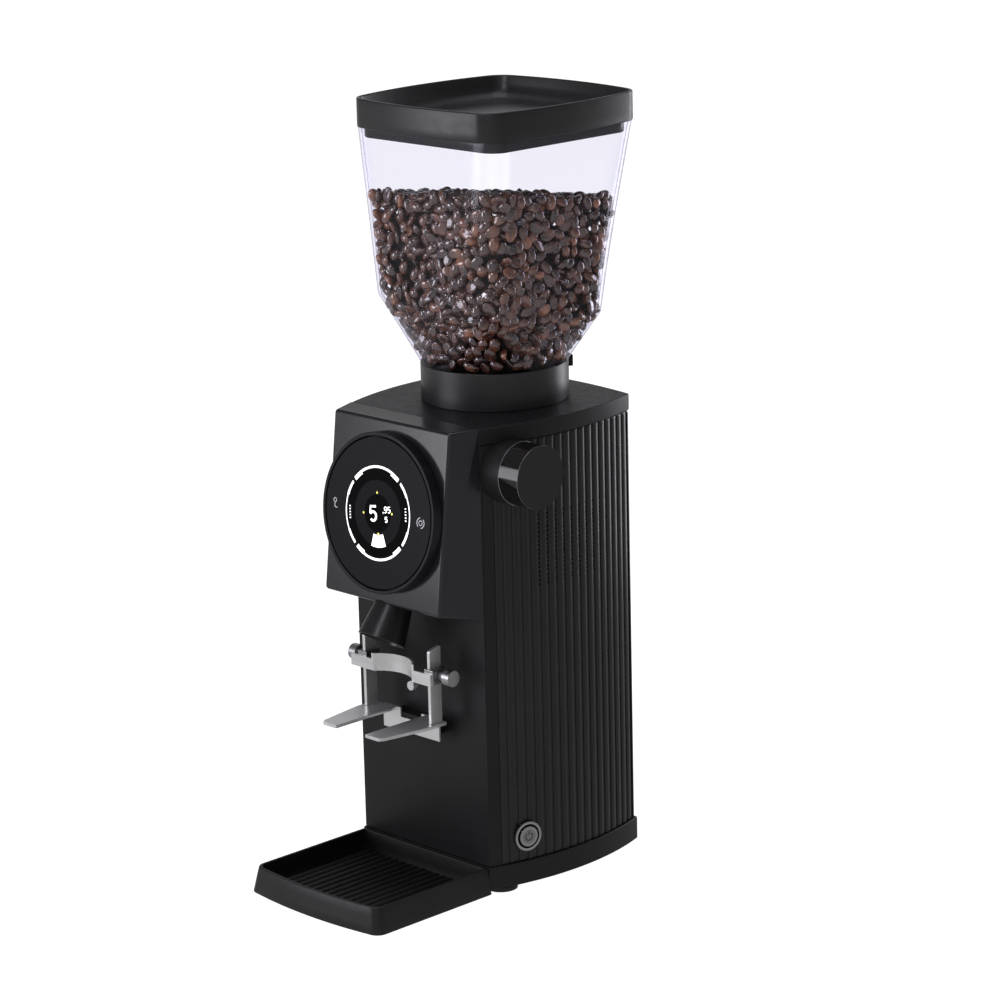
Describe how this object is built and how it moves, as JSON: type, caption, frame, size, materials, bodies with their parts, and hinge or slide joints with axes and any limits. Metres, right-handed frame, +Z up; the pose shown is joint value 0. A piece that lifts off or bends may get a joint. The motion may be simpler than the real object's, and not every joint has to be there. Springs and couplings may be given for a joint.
{
  "type": "burr coffee grinder",
  "caption": "Tall on-demand espresso grinder with a clear bean hopper, round dial, portafilter fork, side knob and a catch tray.",
  "frame": {"origin": "middle of the whole outline seen from above, on the surface the grinder stands on", "axes": "+Z up; -Y is the front, where the dial, fork and tray are; +X is the side of the grind adjustment knob"},
  "size_m": [0.2025, 0.314, 0.615],
  "materials": {
    "base_black": "satin",
    "casing_black": "satin",
    "rib_black": "satin",
    "head_black": "satin",
    "plastic_black": "matt",
    "lid_black": "gloss",
    "tray_black": "fine grain",
    "rubber_black": "matt",
    "ring_grey": "satin",
    "dial_black": "gloss",
    "knob_black": "gloss",
    "hopper_clear": "clear",
    "fork_steel": "polished",
    "button_steel": "polished",
    "screw_steel": "zinc plated",
    "frame_steel": "zinc plated",
    "shaft_steel": "ground",
    "core_steel": "laminated",
    "burr_steel": "hardened, ground",
    "cast_aluminium": "cast",
    "winding_copper": "varnished copper wire",
    "wheel_brass": "machined",
    "board_green": "solder mask",
    "capacitor_white": "matt"
  },
  "bodies": {
    "casing": {"base_plate": "base_black", "rubber_feet": "rubber_black", "foot_screws": "screw_steel", "frame_posts": "frame_steel", "deck_plate": "frame_steel", "front_panel": "casing_black", "left_side_panel": "rib_black", "right_side_panel": "rib_black", "rear_panel": "casing_black", "rear_screws": "screw_steel", "top_cover": "casing_black", "head_housing": "head_black", "dial_base": "plastic_black", "dial_glass": "dial_black", "display_module": "dial_black", "control_board": "board_green", "feed_throat": "cast_aluminium", "motor_housing": "cast_aluminium", "motor_end_cap": "cast_aluminium", "stator_core": "core_steel", "stator_windings": "winding_copper", "upper_bearing": "shaft_steel", "lower_bearing": "shaft_steel", "grind_chamber": "cast_aluminium", "worm_bracket": "frame_steel", "knob_boss": "plastic_black", "outlet_duct": "plastic_black", "spout": "plastic_black", "power_button_bezel": "button_steel", "power_button_nut": "screw_steel", "power_board": "board_green", "run_capacitor": "capacitor_white", "mains_inlet": "plastic_black", "fork_spacer": "plastic_black", "fork_plate": "fork_steel", "fork_uprights": "fork_steel"},
    "dial_ring": {"dial_ring": "ring_grey"},
    "adjust_knob": {"adjust_knob": "knob_black", "adjust_worm": "shaft_steel"},
    "burr_adjuster": {"adjust_ring": "wheel_brass", "upper_burr_carrier": "cast_aluminium", "upper_burr": "burr_steel", "upper_burr_screws": "screw_steel"},
    "rotor": {"motor_shaft": "shaft_steel", "rotor_core": "core_steel", "motor_fan": "plastic_black", "lower_burr_carrier": "cast_aluminium", "lower_burr": "burr_steel", "lower_burr_screws": "screw_steel"},
    "hopper": {"hopper_collar": "plastic_black", "hopper_body": "hopper_clear"},
    "hopper_gate": {"hopper_gate": "plastic_black"},
    "hopper_lid": {"hopper_lid": "lid_black"},
    "power_button": {"power_button_cap": "button_steel"},
    "crossbar": {"crossbar": "fork_steel", "crossbar_clamps": "plastic_black"},
    "left_thumb_screw": {"left_thumb_screw": "button_steel"},
    "right_thumb_screw": {"right_thumb_screw": "button_steel"},
    "catch_tray": {"catch_tray": "tray_black"},
    "tray_mat": {"tray_mat": "rubber_black"}
  },
  "joints": [
    {"name": "dial_ring_turn", "type": "hinge", "parent": "casing", "child": "dial_ring", "pos_m": [-0.01175, -0.06044, 0.305], "axis": [0, -0.993, 0.118], "continuous": true},
    {"name": "knob_turn", "type": "hinge", "parent": "casing", "child": "adjust_knob", "pos_m": [-0.01175, -0.0038, 0.34], "axis": [1, 0, 0], "range_deg": [-1440, 1440]},
    {"name": "burr_adjust_turn", "type": "hinge", "parent": "casing", "child": "burr_adjuster", "pos_m": [-0.01175, 0.064, 0.34], "axis": [0, 0, 1], "range_deg": [-24, 24]},
    {"name": "rotor_spin", "type": "hinge", "parent": "casing", "child": "rotor", "pos_m": [-0.01175, 0.064, 0.16], "axis": [0, 0, 1], "continuous": true},
    {"name": "hopper_lift", "type": "slide", "parent": "casing", "child": "hopper", "axis": [0, 0, 1], "range_m": [0, 0.04]},
    {"name": "gate_slide", "type": "slide", "parent": "hopper", "child": "hopper_gate", "axis": [0.4226, 0.9063, 0], "range_m": [0, 0.056]},
    {"name": "lid_lift", "type": "slide", "parent": "hopper", "child": "hopper_lid", "axis": [0, 0, 1], "range_m": [0, 0.06]},
    {"name": "power_press", "type": "slide", "parent": "casing", "child": "power_button", "axis": [-0.9742, 0.2258, 0], "range_m": [0, 0.0015], "stiffness_N_per_m": 400},
    {"name": "crossbar_height", "type": "slide", "parent": "casing", "child": "crossbar", "axis": [0, 0, 1], "range_m": [-0.024, 0.004]},
    {"name": "left_screw_turn", "type": "hinge", "parent": "crossbar", "child": "left_thumb_screw", "pos_m": [-0.05675, -0.0475, 0.179], "axis": [1, 0, 0], "range_deg": [-360, 360]},
    {"name": "right_screw_turn", "type": "hinge", "parent": "crossbar", "child": "right_thumb_screw", "pos_m": [0.03325, -0.0475, 0.179], "axis": [1, 0, 0], "range_deg": [-360, 360]},
    {"name": "tray_slide", "type": "slide", "parent": "casing", "child": "catch_tray", "axis": [0, -1, 0], "range_m": [0, 0.13]},
    {"name": "mat_lift", "type": "slide", "parent": "catch_tray", "child": "tray_mat", "axis": [0, 0, 1], "range_m": [0, 0.03]}
  ],
  "couplings": [
    {"joint": "burr_adjust_turn", "follows": "knob_turn", "ratio": 0.016667}
  ]
}
